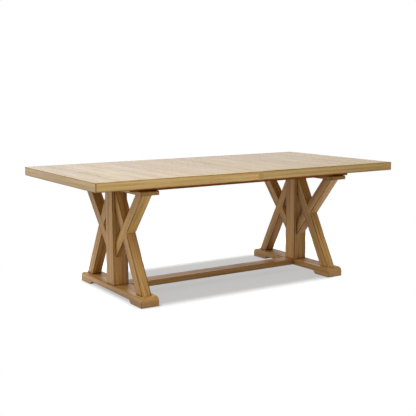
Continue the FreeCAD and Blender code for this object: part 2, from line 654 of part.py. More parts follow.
def build_base():
    """Trestles, stretcher, bearers and their fasteners."""
    screws = stretcher_screws()
    glides = floor_glides()
    bolts = bearer_bolts()
    post = post_blank()
    stretcher = stretcher_blank()
    rising, falling = back_braces()
    braces = {"back": (rising, falling), "front": (mirrored_y(rising), mirrored_y(falling))}
    rising_pair = [pair[0] for pair in braces.values()]
    falling_pair = [pair[1] for pair in braces.values()]
    pieces = {"foot": foot_blank().cut([post, stretcher] + rising_pair + screws + glides),
              "cap": cap_blank().cut([post] + falling_pair + bolts),
              "post": post.cut(rising_pair + falling_pair)}
    for side, pair in braces.items():
        pieces[side + "_rising_brace"] = pair[0]
        pieces[side + "_falling_brace"] = pair[1]
    opposite = {"front": "back", "back": "front"}
    for name, shape in pieces.items():
        export("right_" + name, shape)
        side, _, rest = name.partition("_")
        turned = opposite[side] + "_" + rest if side in opposite else name
        export("left_" + turned, half_turn(shape))
    all_screws = screws + [half_turn(screw) for screw in screws]
    all_bolts = bolts + [half_turn(bolt) for bolt in bolts]
    export("stretcher_screws", Part.makeCompound(all_screws))
    export("floor_glides", Part.makeCompound(glides + [half_turn(glide) for glide in glides]))
    export("bearer_bolts", Part.makeCompound(all_bolts))
    export("stretcher", stretcher.cut(all_screws))
    bridge = gear_bridge()
    bearer = back_bearer().cut([bridge] + all_bolts)
    export("back_bearer", bearer)
    export("front_bearer", half_turn(bearer))
    export("gear_bridge", bridge.cut(pinion_pivot()))


def build_mechanism():
    """Runners, racks, pinion and seam locks."""
    runner = back_runner()
    export("right_back_runner", runner)
    export("right_front_runner", mirrored_y(runner))
    export("left_front_runner", half_turn(runner))
    export("left_back_runner", half_turn(mirrored_y(runner)))
    rack = right_rack()
    export("right_rack", rack)
    export("left_rack", half_turn(rack))
    export("pinion", pinion())
    export("pinion_pivot", pinion_pivot())
    places = [side * LOCK_OFFSET for name, side in FRONT_BACK]
    export("lock_plates", Part.makeCompound(
        [headed_plate(-LOCK_SPAN / 2, y, LOCK_PIVOT_RADIUS, LOCK_PIVOT_HEAD_RADIUS) for y in places]))
    export("keeper_plates", Part.makeCompound(
        [headed_plate(LOCK_SPAN / 2, y, LOCK_STUD_RADIUS, LOCK_STUD_HEAD_RADIUS) for y in places]))
    for name, side in FRONT_BACK:
        export(name + "_hook", hook(side * LOCK_OFFSET))


os.makedirs("parts", exist_ok=True)
build_top()
build_base()
build_mechanism()
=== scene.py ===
"""Looks of an extending trestle dining table.

Dresses the model in its oak, beech, zinc and nylon finishes, adds the small screws under the top,
and sets the studio and camera. Lengths are metres in the model's frame: +X along the table,
+Y from front to back, +Z up.
"""
import math
import random

import bmesh
import bpy
from bpy.props import FloatProperty, FloatVectorProperty, PointerProperty
from mathutils import Matrix, Vector, geometry


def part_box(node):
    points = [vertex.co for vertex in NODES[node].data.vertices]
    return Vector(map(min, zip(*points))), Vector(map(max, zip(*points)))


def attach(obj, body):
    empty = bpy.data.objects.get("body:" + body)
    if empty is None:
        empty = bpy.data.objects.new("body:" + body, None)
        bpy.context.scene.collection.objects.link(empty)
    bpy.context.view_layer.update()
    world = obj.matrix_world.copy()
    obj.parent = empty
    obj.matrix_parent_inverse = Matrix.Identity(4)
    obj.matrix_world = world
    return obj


bl_info = {
    "name": "Trestle Dining Table",
    "version": (1, 0, 0),
    "blender": (4, 5, 0),
    "location": "3D View > Sidebar > Table",
    "description": "Finishes, small screws and studio of an extending trestle dining table",
    "category": "Object",
}

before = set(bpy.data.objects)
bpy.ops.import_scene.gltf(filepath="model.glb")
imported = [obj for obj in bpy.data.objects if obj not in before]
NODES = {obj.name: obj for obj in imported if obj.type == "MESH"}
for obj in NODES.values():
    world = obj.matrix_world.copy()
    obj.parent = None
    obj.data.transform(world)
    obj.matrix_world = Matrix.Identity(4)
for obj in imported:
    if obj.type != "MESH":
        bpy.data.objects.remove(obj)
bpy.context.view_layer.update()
ALONG = Vector((1.0, 0.0, 0.0))
ACROSS = Vector((0.0, 1.0, 0.0))
UPRIGHT = Vector((0.0, 0.0, 1.0))
WHITE = (1.0, 1.0, 1.0, 1.0)


# Settings

def srgb(red, green, blue):
    """A display colour, 0 to 255, as linear light."""
    def linear(value):
        share = value / 255
        return share / 12.92 if share <= 0.04045 else ((share + 0.055) / 1.055) ** 2.4
    return linear(red), linear(green), linear(blue)


def colour_property(name, description, default):
    """A colour that a user may change."""
    return FloatVectorProperty(name=name, description=description, default=default, subtype="COLOR",
                               size=3, min=0.0, max=1.0)


def length_property(name, description, default):
    """A length that a user may change."""
    return FloatProperty(name=name, description=description, default=default, min=0.0, unit="LENGTH")


def share_property(name, description, default):
    """A share of the whole, 0 to 1, that a user may change."""
    return FloatProperty(name=name, description=description, default=default, min=0.0, max=1.0,
                         subtype="FACTOR")


def angle_property(name, description, degrees):
    """An angle that a user may change."""
    return FloatProperty(name=name, description=description, default=math.radians(degrees), subtype="ANGLE")


def power_property(name, description, default):
    """A lamp's power that a user may change."""
    return FloatProperty(name=name, description=description, default=default, min=0.0, unit="POWER")


class TableFinish(bpy.types.PropertyGroup):
    """Colours, grain, glaze and sheen of the woods, the zinc and the nylon."""

    board_pale: colour_property("Pale boards", "Lightest tone of the top boards", srgb(209, 173, 105))
    board_dark: colour_property("Dark boards", "Darkest tone of the top boards", srgb(193, 156, 89))
    edge_pale: colour_property("Pale lipping", "Lightest tone of the lipping", srgb(228, 191, 126))
    edge_dark: colour_property("Dark lipping", "Darkest tone of the lipping", srgb(172, 136, 79))
    base_pale: colour_property("Pale trestles", "Lightest tone of the trestles", srgb(225, 174, 100))
    base_dark: colour_property("Dark trestles", "Darkest tone of the trestles", srgb(153, 110, 54))
    # Colour of the glaze, and also of the painted shade in corners and nooks
    oak_glaze_and_shade: colour_property("Glaze", "Brown glaze in pores, joints and along edges", srgb(92, 56, 20))
    beech_pale: colour_property("Pale beech", "Lightest tone of the stained slides", srgb(178, 100, 41))
    beech_dark: colour_property("Dark beech", "Darkest tone of the stained slides", srgb(130, 66, 23))
    zinc: colour_property("Zinc", "Colour of the plated screws, plates and hooks", srgb(196, 196, 192))
    nylon: colour_property("Nylon", "Colour of the pinion and the floor glides", srgb(214, 210, 198))
    edge_glaze: length_property("Edge glaze", "Width of the dark glaze along each edge", 0.007)
    joint_glaze: length_property("Joint glaze", "Width of the dark glaze along a board's joints", 0.003)
    # Glaze in the joints and painted shade in the corners, both within this reach of where two pieces meet
    corner_glaze_and_shade: length_property("Corner glaze", "Reach of the glaze where two pieces meet", 0.012)
    lap_reach: length_property("Lap reach", "From a halved joint's middle to where its glaze starts", 0.048)
    # Painted shade deep between pieces begins within this reach of other wood
    nook_shade_reach: length_property("Nook reach", "How near other wood lies where glaze stays on", 0.14)
    glaze_share: share_property("Glaze strength", "How far the glaze hides the oak", 0.95)
    # How dark the painted shade deep between pieces grows, in the glaze's colour
    painted_nook_shade: share_property("Nook glaze", "How far the glaze hides the oak deep between pieces", 0.22)
    crown_glaze: share_property("Crown glaze", "How far the glaze hides the lipping's upper face", 0.12)
    ring_spacing: length_property("Ring spacing", "Width of one year's growth", 0.0045)
    grain_relief: length_property("Grain relief", "Depth of the open grain", 0.0003)
    top_roughness: share_property("Top roughness", "Sheen of the lacquered top", 0.24)
    base_roughness: share_property("Base roughness", "Sheen of the trestles and slides", 0.42)


class TableHardware(bpy.types.PropertyGroup):
    """Sizes of the small screws under the top."""

    head_radius: length_property("Head radius", "Radius of a screw's head", 0.0042)
    head_height: length_property("Head height", "How far a head stands out", 0.0008)
    recess_reach: length_property("Recess reach", "From the middle to the tip of the cross recess", 0.0022)
    recess_width: length_property("Recess width", "Width of one arm of the cross recess", 0.0009)
    end_margin: length_property("End margin", "Least distance from a slide's end to a screw", 0.02)
    plate_line: length_property("Plate line", "From the seam to a lock plate's screws", 0.028)
    plate_length: length_property("Plate length", "Length of one lock plate along the seam", 0.044)
    plate_thickness: length_property("Plate thickness", "Thickness of one lock plate", 0.002)
    plate_spread: length_property("Plate spread", "Distance between a lock plate's two screws", 0.032)


class TableStudio(bpy.types.PropertyGroup):
    """Camera, lamps and floor."""

    camera_place: FloatVectorProperty(name="Camera place", description="Where the camera stands",
                                      default=(-2.8827, -4.4843, 1.2783), subtype="TRANSLATION")
    camera_azimuth: angle_property("Azimuth", "Turn of the camera round the table", -32.4085)
    camera_elevation: angle_property("Elevation", "How far the camera looks down", 8.5088)
    camera_roll: angle_property("Roll", "Tilt of the horizon", -0.2352)
    camera_lens: FloatProperty(name="Lens", description="Focal length in millimetres", default=69.321,
                               min=1.0, unit="CAMERA")
    front_power: power_property("Front light", "Power of the high softbox in front", 26.8)
    side_power: power_property("Side light", "Power of the high softbox at the left", 18.0)
    low_power: power_property("Low light", "Power of the low softbox in front", 5.65)
    floor_sun: FloatProperty(name="Floor lamps", default=7.3, min=0.0,
                             description="Light of each lamp that draws the floor shadow")
    floor_tone: share_property("Floor tone", "How much of those lamps the floor shows to the camera", 0.25)
    floor_glow: FloatProperty(name="Floor glow", description="Paleness of the shadow on the floor",
                              default=0.465, min=0.0)
    floor_shade: share_property("Floor bounce", "How much light the floor gives back to the table", 0.09)
    shadow_reach: FloatVectorProperty(name="Shadow reach", default=(1.8, 0.72), size=2, min=0.0,
                                      description="How far from the middle a shadow can fall",
                                      subtype="XYZ_LENGTH")
    shadow_fade: length_property("Shadow fade", "Width of the band where the shadow runs out", 0.3)
    # A shadow painted on the floor round the feet: its reach, its darkness and its paleness
    contact_reach: length_property("Contact reach", "How near the feet the floor darkens", 0.05)
    painted_contact_shadow: share_property("Contact shade", "How far the floor darkens against the feet", 0.65)
    contact_glow: FloatProperty(name="Contact glow", description="Paleness of the floor against the feet",
                                default=0.54, min=0.0)


class TableLooks(bpy.types.PropertyGroup):
    """All that a user may change."""

    finish: PointerProperty(type=TableFinish, name="Finish", description="Woods, zinc and nylon")
    hardware: PointerProperty(type=TableHardware, name="Hardware", description="Small screws")
    studio: PointerProperty(type=TableStudio, name="Studio", description="Camera, lamps and floor")


# Node building

OPEN_AIR_SAMPLES = 12


def rgba(colour, scale=1.0):
    """A colour as four numbers, made lighter or darker by a scale."""
    return tuple(min(1.0, channel * scale) for channel in colour) + (1.0,)


class Graph:
    """Adds nodes to a tree; an input is a value or another node's output."""

    def __init__(self, tree):
        self.tree = tree

    def fill(self, node, *inputs):
        """Set a node's inputs, given as (socket, value) pairs."""
        for name, value in inputs:
            if isinstance(value, bpy.types.NodeSocket):
                self.tree.links.new(value, node.inputs[name])
            else:
                node.inputs[name].default_value = value

    def node(self, kind, *inputs, **settings):
        """A node with its inputs and settings."""
        made = self.tree.nodes.new(kind)
        for name, value in settings.items():
            setattr(made, name, value)
        self.fill(made, *inputs)
        return made

    def math(self, operation, first, second=0.0, third=0.0):
        """A number worked out from up to three numbers."""
        return self.node("ShaderNodeMath", (0, first), (1, second), (2, third),
                         operation=operation).outputs[0]

    def blend(self, share, first, second):
        """A number that goes from first to second by a share."""
        return self.math("MULTIPLY_ADD", share, self.math("SUBTRACT", second, first), first)

    def vector(self, operation, first, second=(0.0, 0.0, 0.0)):
        """A vector worked out from one or two vectors."""
        return self.node("ShaderNodeVectorMath", (0, first), (1, second), operation=operation).outputs[0]

    def dot(self, first, second):
        """How far two directions agree."""
        return self.node("ShaderNodeVectorMath", (0, first), (1, second),
                         operation="DOT_PRODUCT").outputs["Value"]

    def length(self, vector):
        """The length of a vector."""
        return self.node("ShaderNodeVectorMath", (0, vector), operation="LENGTH").outputs["Value"]

    def axes(self, vector):
        """The three numbers of a vector."""
        return self.node("ShaderNodeSeparateXYZ", (0, vector)).outputs

    def own_place(self):
        """A point's place in its own object."""
        return self.node("ShaderNodeTexCoord").outputs["Object"]

    def noise(self, place, stretch, detail=2.0, roughness=0.5):
        """Soft noise from 0 to 1, with its own scale along each axis."""
        return self.node("ShaderNodeTexNoise", ("Vector", self.vector("MULTIPLY", place, stretch)),
                         ("Scale", 1.0), ("Detail", detail), ("Roughness", roughness)).outputs["Fac"]

    def ramp(self, value, start, stop, low=0.0, high=1.0):
        """A smooth step from low to high as a value goes from start to stop."""
        return self.node("ShaderNodeMapRange", ("Value", value), ("From Min", start), ("From Max", stop),
                         ("To Min", low), ("To Max", high),
                         interpolation_type="SMOOTHSTEP").outputs["Result"]

    def open_air(self, reach):
        """How open the space round a point is, within a reach: 1 in the open, 0 shut in."""
        return self.node("ShaderNodeAmbientOcclusion", ("Distance", reach),
                         samples=OPEN_AIR_SAMPLES).outputs["AO"]

    def mix(self, share, first, second, blend="MIX"):
        """Two colours mixed by a share."""
        return self.node("ShaderNodeMix", (0, share), (6, first), (7, second), data_type="RGBA",
                         blend_type=blend).outputs[2]

    def bump(self, height, depth, strength):
        """A surface's direction where a height makes it uneven."""
        return self.node("ShaderNodeBump", ("Height", height), ("Distance", depth),
                         ("Strength", strength)).outputs["Normal"]

    def diffuse(self, tone):
        """A dull grey surface."""
        return self.node("ShaderNodeBsdfDiffuse", ("Color", rgba((tone,) * 3))).outputs[0]

    def emission(self, strength):
        """A white glow."""
        return self.node("ShaderNodeEmission", ("Strength", strength)).outputs[0]

    def mix_shaders(self, share, first, second):
        """Two shaders mixed by a share."""
        return self.node("ShaderNodeMixShader", (0, share), (1, first), (2, second)).outputs[0]


def new_group(name, inputs, outputs):
    """An empty node group: its graph, its input node and its output node."""
    tree = bpy.data.node_groups.new(name, "ShaderNodeTree")
    for label in inputs:
        tree.interface.new_socket(label, in_out="INPUT", socket_type="NodeSocketVector")
    for label in outputs:
        tree.interface.new_socket(label, in_out="OUTPUT", socket_type="NodeSocketFloat")
    graph = Graph(tree)
    return graph, graph.node("NodeGroupInput"), graph.node("NodeGroupOutput")


def shared_group(name, make, *values):
    """A node group by name, made the first time that it is asked for."""
    return bpy.data.node_groups.get(name) or make(name, *values)


def new_material(name):
    """An empty material: itself, its graph and its Principled shader."""
    material = bpy.data.materials.new(name)
    material.use_nodes = True
    graph = Graph(material.node_tree)
    return material, graph, material.node_tree.nodes["Principled BSDF"]


# Wood

# Noise scales, along the grain and across it
WANDER_SCALE = (0.8, 5.0, 5.0)
STREAK_SCALE = (1.4, 75.0, 75.0)
BROAD_SCALE = (0.6, 14.0, 14.0)
FIBRE_SCALE = (22.0, 850.0, 850.0)
CLOUD_SCALE = (3.0, 9.0, 9.0)
PATCH_SCALE = (18.0, 40.0, 40.0)
# How far the rings wander, and how late wood comes and goes in a year
WANDER_REACH = 0.03
LATE_RISE = (0.05, 0.6)
LATE_FALL = (1.0, 0.85)
# What streaks, broad bands and rings add to the figure, and the span that it is stretched from
STREAK_WEIGHT = 0.9
BROAD_WEIGHT = 0.6
RING_WEIGHT = 0.16
FIGURE_SPAN = (0.58, 1.08)
# Pores are the deepest fibres, and late wood has fewer of them
PORE_SPAN = (0.56, 0.7)
LATE_PORES = (0.9, 0.1, 0.35, 1.0)
# Where a piece's pith may lie: along its grain, to one side, and behind its face
PITH_ALONG = 40.0
PITH_ASIDE = 0.05
PITH_DEPTH = (0.05, 0.16)
# Faces across the grain show less figure
END_GRAIN_SPAN = (0.4, 0.9, 0.0, 0.75)
END_GRAIN_FIGURE = 0.45
# Warmer clouds in the colour
CLOUD_SPAN = (0.35, 0.7, 0.0, 0.35)
CLOUD_TINT = (1.0, 0.93, 0.86, 1.0)
# Where glaze lies: in pores, in uneven patches, not on crests or laps; glaze with painted shade in corners,
# painted shade in nooks
PORE_GLAZE = 0.3
PATCH_SPAN = (0.3, 0.7, 0.55, 1.0)
CREST_SPAN = (0.5, 0.95)
LAP_FADE = 1.4
# How shut in a point is where the corner's glaze and painted shade start, and where they are darkest
CORNER_SPAN = (0.9, 0.5)
# How shut in a point is where the painted shade in nooks starts, and where it is darkest
NOOK_SPAN = (0.85, 0.35)
# What figure, pores and glaze add to the roughness, and the relief that they make
ROUGHNESS_BASE = 0.04
FIGURE_ROUGHNESS = -0.08
PORE_ROUGHNESS = 0.18
GLAZE_ROUGHNESS = 0.6
FIGURE_RELIEF = 0.35
RELIEF_STRENGTH = 0.4
# A brace's sides lean along the table no more than this
BRACE_SIDE_LEAN = 0.1


def grain_group(name, ring_spacing):
    """Grain round a pith line: the figure of rings and streaks, and the open pores."""
    graph, source, result = new_group(name, ("Place", "Pith"), ("Figure", "Pores"))
    place = graph.vector("SUBTRACT", source.outputs["Place"], source.outputs["Pith"])
    wander = graph.noise(place, WANDER_SCALE, detail=3.0)
    radius = graph.length(graph.vector("MULTIPLY", place, ACROSS + UPRIGHT))
    radius = graph.math("MULTIPLY_ADD", wander, WANDER_REACH, radius)
    year = graph.math("FRACT", graph.math("DIVIDE", radius, ring_spacing))
    late = graph.math("MULTIPLY", graph.ramp(year, *LATE_RISE), graph.ramp(year, *LATE_FALL))
    streak = graph.noise(place, STREAK_SCALE, detail=4.0, roughness=0.6)
    figure = graph.math("MULTIPLY", streak, STREAK_WEIGHT)
    figure = graph.math("MULTIPLY_ADD", graph.noise(place, BROAD_SCALE), BROAD_WEIGHT, figure)
    figure = graph.math("MULTIPLY_ADD", late, RING_WEIGHT, figure)
    fibre = graph.noise(place, FIBRE_SCALE, detail=1.0)
    pores = graph.math("MULTIPLY", graph.ramp(fibre, *PORE_SPAN), graph.ramp(late, *LATE_PORES))
    graph.fill(result, ("Figure", graph.ramp(figure, *FIGURE_SPAN)), ("Pores", pores))
    return graph.tree


def edge_group(name):
    """How far a point on a squared piece lies from the nearest of its edges."""
    graph, source, result = new_group(name, ("Place", "Half"), ("Distance",))
    inside = graph.vector("SUBTRACT", source.outputs["Half"],
                          graph.vector("ABSOLUTE", source.outputs["Place"]))
    first, second, third = graph.axes(inside)
    total = graph.math("ADD", graph.math("ADD", first, second), third)
    nearest = graph.math("MINIMUM", graph.math("MINIMUM", first, second), third)
    farthest = graph.math("MAXIMUM", graph.math("MAXIMUM", first, second), third)
    distance = graph.math("SUBTRACT", graph.math("SUBTRACT", total, nearest), farthest)
    graph.fill(result, ("Distance", distance))
    return graph.tree


def grain_frame(node, grain, seam_reach=0.0):
    """A piece's own axes: its turn, its middle and its half sizes, with the first axis along the grain.

    The seam's end of a piece can count as longer than it is, so that no edge is seen there.
    """
    side = ACROSS if grain == ALONG else ALONG
    turn = Matrix((grain, side, grain.cross(side))).transposed()
    corners = [turn.transposed() @ vertex.co for vertex in NODES[node].data.vertices]
    low = Vector(min(corner[axis] for corner in corners) for axis in range(3))
    high = Vector(max(corner[axis] for corner in corners) for axis in range(3))
    if node.startswith("left_"):
        high[0] += seam_reach
    else:
        low[0] -= seam_reach
    return turn, turn @ ((low + high) / 2), (high - low) / 2


def brace_grain(node):
    """The line of a brace: square to its largest face that doesn't look along the table."""
    faces = [face for face in NODES[node].data.polygons if abs(face.normal.x) < BRACE_SIDE_LEAN]
    largest = max(faces, key=lambda face: face.area)
    return ALONG.cross(largest.normal).normalized()


def lap_middle(node):
    """The middle of the halved joint where a brace crosses its mate."""
    mate = node.replace("rising", "falling") if "rising" in node else node.replace("falling", "rising")
    ends = []
    for brace in (node, mate):
        line = brace_grain(brace)
        middle = grain_frame(brace, line)[1]
        ends += [middle, middle + line]
    return geometry.intersect_line_line(*ends)[0]


def wood_figure(graph, node, grain, place, normal, finish):
    """The figure and the open pores of one piece, which has its own place in the tree."""
    dice = random.Random(node)
    pith = (dice.uniform(-PITH_ALONG, PITH_ALONG), dice.uniform(-PITH_ASIDE, PITH_ASIDE),
            dice.choice((-1, 1)) * dice.uniform(*PITH_DEPTH))
    tree = shared_group("Wood Grain", grain_group, finish.ring_spacing)
    wood = graph.node("ShaderNodeGroup", ("Place", place), ("Pith", pith), node_tree=tree).outputs
    end_grain = graph.ramp(graph.math("ABSOLUTE", graph.dot(normal, grain)), *END_GRAIN_SPAN)
    return graph.blend(end_grain, wood["Figure"], END_GRAIN_FIGURE), wood["Pores"]


def edge_rim(graph, place, half, finish, glaze_width):
    """How far glaze lies along a piece's edges."""
    tree = shared_group("Edge Distance", edge_group)
    edges = graph.node("ShaderNodeGroup", ("Place", place), ("Half", half), node_tree=tree)
    return graph.ramp(edges.outputs["Distance"], glaze_width, 0.0, 0.0, finish.glaze_share)


def wood_material(node, grain, pale, dark, finish, roughness, glaze_width, gloss, tone=1.0,
                  crown=None, lap=None, seam_reach=0.0, nook=0.0):
    """A finished wood for one piece: figure, pores, glaze along the edges, sheen and open grain.

    A crown is the glaze on faces that look up, in place of their edges'; a lap is a point with no
    glaze round it; a nook is painted shade deep between pieces, and corners get glaze and painted shade.
    """
    turn, middle, half = grain_frame(node, grain, seam_reach)
    material, graph, shader = new_material(node + " wood")
    own = graph.own_place()
    place = graph.node("ShaderNodeMapping", ("Vector", own), ("Location", middle),
                       ("Rotation", turn.to_euler()), vector_type="TEXTURE").outputs[0]
    normal = graph.node("ShaderNodeNewGeometry").outputs["Normal"]
    figure, pores = wood_figure(graph, node, grain, place, normal, finish)
    rim = edge_rim(graph, place, half, finish, glaze_width)
    if crown is not None:
        rim = graph.blend(graph.ramp(graph.dot(normal, UPRIGHT), *CREST_SPAN), rim, crown)
    if lap is not None:
        apart = graph.length(graph.vector("SUBTRACT", own, lap))
        rim = graph.math("MULTIPLY", rim, graph.ramp(apart, finish.lap_reach, finish.lap_reach * LAP_FADE))
    # Glaze in the joints with painted shade: darker where open_air finds a corner close by
    corner = graph.ramp(graph.open_air(finish.corner_glaze_and_shade), *CORNER_SPAN, 0.0, finish.glaze_share)
    rim = graph.math("MAXIMUM", rim, corner)

    # The glaze colour, also used below for the painted shade in corners and nooks
    glaze = rgba(finish.oak_glaze_and_shade)
    colour = graph.mix(figure, rgba(dark, tone), rgba(pale, tone))
    cloud = graph.ramp(graph.noise(place, CLOUD_SCALE), *CLOUD_SPAN)
    colour = graph.mix(cloud, colour, CLOUD_TINT, "MULTIPLY")
    colour = graph.mix(graph.math("MULTIPLY", pores, PORE_GLAZE), colour, glaze)
    patchy = graph.ramp(graph.noise(place, PATCH_SCALE), *PATCH_SPAN)
    colour = graph.mix(graph.math("MULTIPLY", rim, patchy), colour, glaze)
    # Painted shade deep between pieces, in the glaze's colour, where open_air finds the point shut in
    if nook:
        deep = graph.ramp(graph.open_air(finish.nook_shade_reach), *NOOK_SPAN, 0.0, nook)
        colour = graph.mix(deep, colour, glaze)

    sheen = graph.math("MULTIPLY_ADD", figure, FIGURE_ROUGHNESS, roughness + ROUGHNESS_BASE)
    sheen = graph.math("MULTIPLY_ADD", pores, PORE_ROUGHNESS, sheen)
    sheen = graph.math("MULTIPLY_ADD", rim, GLAZE_ROUGHNESS, sheen)
    relief = graph.math("SUBTRACT", graph.math("MULTIPLY", figure, FIGURE_RELIEF), pores)
    uneven = graph.bump(relief, finish.grain_relief, RELIEF_STRENGTH)
    graph.fill(shader, ("Base Color", colour), ("Roughness", sheen), ("Normal", uneven))
    shader.inputs["Specular IOR Level"].default_value = gloss
    return material


def dress(node, material):
    """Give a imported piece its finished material."""
    for slot in NODES[node].material_slots:
        slot.material = material


def named(*words):
    """The pieces whose names hold one of the words, in order."""
    return sorted(node for node in NODES if any(word in node for word in words))


# Gloss of each kind of piece; the low pieces are the feet and the stretcher
BOARD_GLOSS = 0.5
END_LIPPING_GLOSS = 0.4
SIDE_LIPPING_GLOSS = 0.25
SEAM_RAIL_GLOSS = 0.3
TRESTLE_GLOSS = 0.35
LOW_GLOSS = 0.5
SLIDE_GLOSS = 0.05
# Boards differ in tone and in how yellow they are
BOARD_TONES = (0.96, 1.04)
BOARD_BLUES = (0.9, 1.1)
# The front and back lipping run on past the seam, so that no glaze lies across it
SEAM_REACH = 0.03
# Seam rails are paler, with a narrower line of glaze
SEAM_RAIL_TONE = 1.05
SEAM_RAIL_GLAZE = 1 / 3
# Painted light and shade: pieces made lighter or darker to stand in for how much light falls on them
PAINTED_LIGHT_TONES = {
    "left_end_lipping": 0.92, "left_front_lipping": 1.33, "right_front_lipping": 1.03,
    "left_cap": 1.18, "right_cap": 0.92, "left_foot": 1.09, "right_foot": 1.02,
    "left_post": 1.04, "right_post": 1.1, "stretcher": 1.04,
    "left_front_falling_brace": 1.45, "left_back_falling_brace": 0.95,
    "right_front_falling_brace": 1.16, "right_back_falling_brace": 1.12,
    "right_front_rising_brace": 1.04, "right_back_rising_brace": 1.06}
# The stretcher is a redder board than the trestles
PLAIN_TINT = Vector((1.0, 1.0, 1.0))
STRETCHER_TINT = Vector((1.0, 0.92, 0.82))


class TABLE_OT_finish_top(bpy.types.Operator):
    """Finish the boards, lipping and seam rails of the top"""

    bl_idname = "table.finish_top"
    bl_label = "Finish the Top"

    def execute(self, context):
        finish = context.scene.table_looks.finish
        for node in named("_board_"):
            dice = random.Random(node + " tone")
            tone = dice.uniform(*BOARD_TONES)
            warmth = Vector((1.0, 1.0, dice.uniform(*BOARD_BLUES)))
            dress(node, wood_material(node, ACROSS, warmth * Vector(finish.board_pale),
                                      warmth * Vector(finish.board_dark), finish, finish.top_roughness,
                                      finish.joint_glaze, BOARD_GLOSS, tone))
        for node in named("_lipping"):
            if "_end_" in node:
                look = dict(grain=ACROSS, roughness=finish.top_roughness, gloss=END_LIPPING_GLOSS, crown=0.0)
            else:
                look = dict(grain=ALONG, roughness=finish.base_roughness, gloss=SIDE_LIPPING_GLOSS,
                            crown=finish.crown_glaze if "_front_" in node else None, seam_reach=SEAM_REACH)
            # The lipping's tone is painted light and shade
            dress(node, wood_material(node, pale=finish.edge_pale, dark=finish.edge_dark, finish=finish,
                                      glaze_width=finish.edge_glaze,
                                      tone=PAINTED_LIGHT_TONES.get(node, 1.0), **look))
        for node in named("seam_rail"):
            dress(node, wood_material(node, ACROSS, finish.edge_pale, finish.edge_dark, finish,
                                      finish.top_roughness, finish.joint_glaze * SEAM_RAIL_GLAZE,
                                      SEAM_RAIL_GLOSS, SEAM_RAIL_TONE))
        return {"FINISHED"}


class TABLE_OT_finish_trestles(bpy.types.Operator):
    """Finish the feet, posts, caps, braces and stretcher"""

    bl_idname = "table.finish_trestles"
    bl_label = "Finish the Trestles"

    def execute(self, context):
        finish = context.scene.table_looks.finish
        grains = {node: ACROSS for node in named("_foot", "_cap")}
        grains.update({node: UPRIGHT for node in named("_post")})
        grains.update({node: brace_grain(node) for node in named("_brace")})
        grains["stretcher"] = ALONG
        low_pieces = named("_foot", "stretcher")
        for node, grain in grains.items():
            tint = STRETCHER_TINT if node == "stretcher" else PLAIN_TINT
            if node in low_pieces:
                look = dict(glaze_width=finish.joint_glaze, gloss=LOW_GLOSS)
            else:
                look = dict(glaze_width=finish.edge_glaze, gloss=TRESTLE_GLOSS)
            if "_brace" in node:
                look["lap"] = lap_middle(node)
            # Each piece's tone is painted light and shade, and its nook share is painted shade
            dress(node, wood_material(node, grain, tint * Vector(finish.base_pale),
                                      tint * Vector(finish.base_dark), finish, finish.base_roughness,
                                      tone=PAINTED_LIGHT_TONES.get(node, 1.0), nook=finish.painted_nook_shade, **look))
        return {"FINISHED"}


class TABLE_OT_finish_slides(bpy.types.Operator):
    """Finish the bearers, runners, racks, gear bridge and seam pins"""

    bl_idname = "table.finish_slides"
    bl_label = "Finish the Slides"

    def execute(self, context):
        finish = context.scene.table_looks.finish
        lengthwise = named("_runner", "_rack", "front_bearer", "back_bearer", "seam_pins")
        grains = {node: ALONG for node in lengthwise}
        grains["gear_bridge"] = ACROSS
        for node, grain in grains.items():
            dress(node, wood_material(node, grain, finish.beech_pale, finish.beech_dark, finish,
                                      finish.base_roughness, finish.joint_glaze, SLIDE_GLOSS))
        return {"FINISHED"}


# Zinc and nylon

# Zinc: its crystals, their tint and sheen, its stains, and its relief as a depth and a strength
ZINC_CRYSTALS = 420.0
ZINC_CRYSTAL_SHARE = 0.18
ZINC_CRYSTAL_TINT = (0.78, 0.74, 0.62, 1.0)
ZINC_CRYSTAL_SHEEN = (0.0, 1.0, 0.28, 0.42)
ZINC_STAINS = (60.0, 60.0, 60.0)
ZINC_STAIN_SPAN = (0.35, 0.75)
ZINC_STAIN_TONE = 0.72
ZINC_RELIEF = (0.0001, 0.3)
# Nylon: its milky clouds, its orange peel and the peel's sheen, and its relief
NYLON_CLOUDS = (45.0, 45.0, 45.0)
NYLON_CLOUD_SPAN = (0.3, 0.75)
NYLON_CLOUD_TONE = 0.82
NYLON_PEEL = (900.0, 900.0, 900.0)
NYLON_PEEL_SHEEN = (0.3, 0.7, 0.4, 0.52)
NYLON_RELIEF = (0.0002, 0.25)


def zinc_material(finish):
    """Zinc plate: bright steel with a faint crystal spangle and a brushed sheen."""
    material, graph, shader = new_material("zinc plate")
    own = graph.own_place()
    crystal = graph.node("ShaderNodeTexVoronoi", ("Vector", own), ("Scale", ZINC_CRYSTALS)).outputs["Color"]
    spangle = graph.node("ShaderNodeSeparateColor", (0, crystal)).outputs[0]
    stain = graph.noise(own, ZINC_STAINS, detail=3.0)
    colour = graph.mix(graph.ramp(stain, *ZINC_STAIN_SPAN), rgba(finish.zinc),
                       rgba(finish.zinc, ZINC_STAIN_TONE))
    colour = graph.mix(graph.math("MULTIPLY", spangle, ZINC_CRYSTAL_SHARE), colour, ZINC_CRYSTAL_TINT)
    graph.fill(shader, ("Base Color", colour), ("Metallic", 1.0),
               ("Roughness", graph.ramp(spangle, *ZINC_CRYSTAL_SHEEN)),
               ("Normal", graph.bump(stain, *ZINC_RELIEF)))
    return material


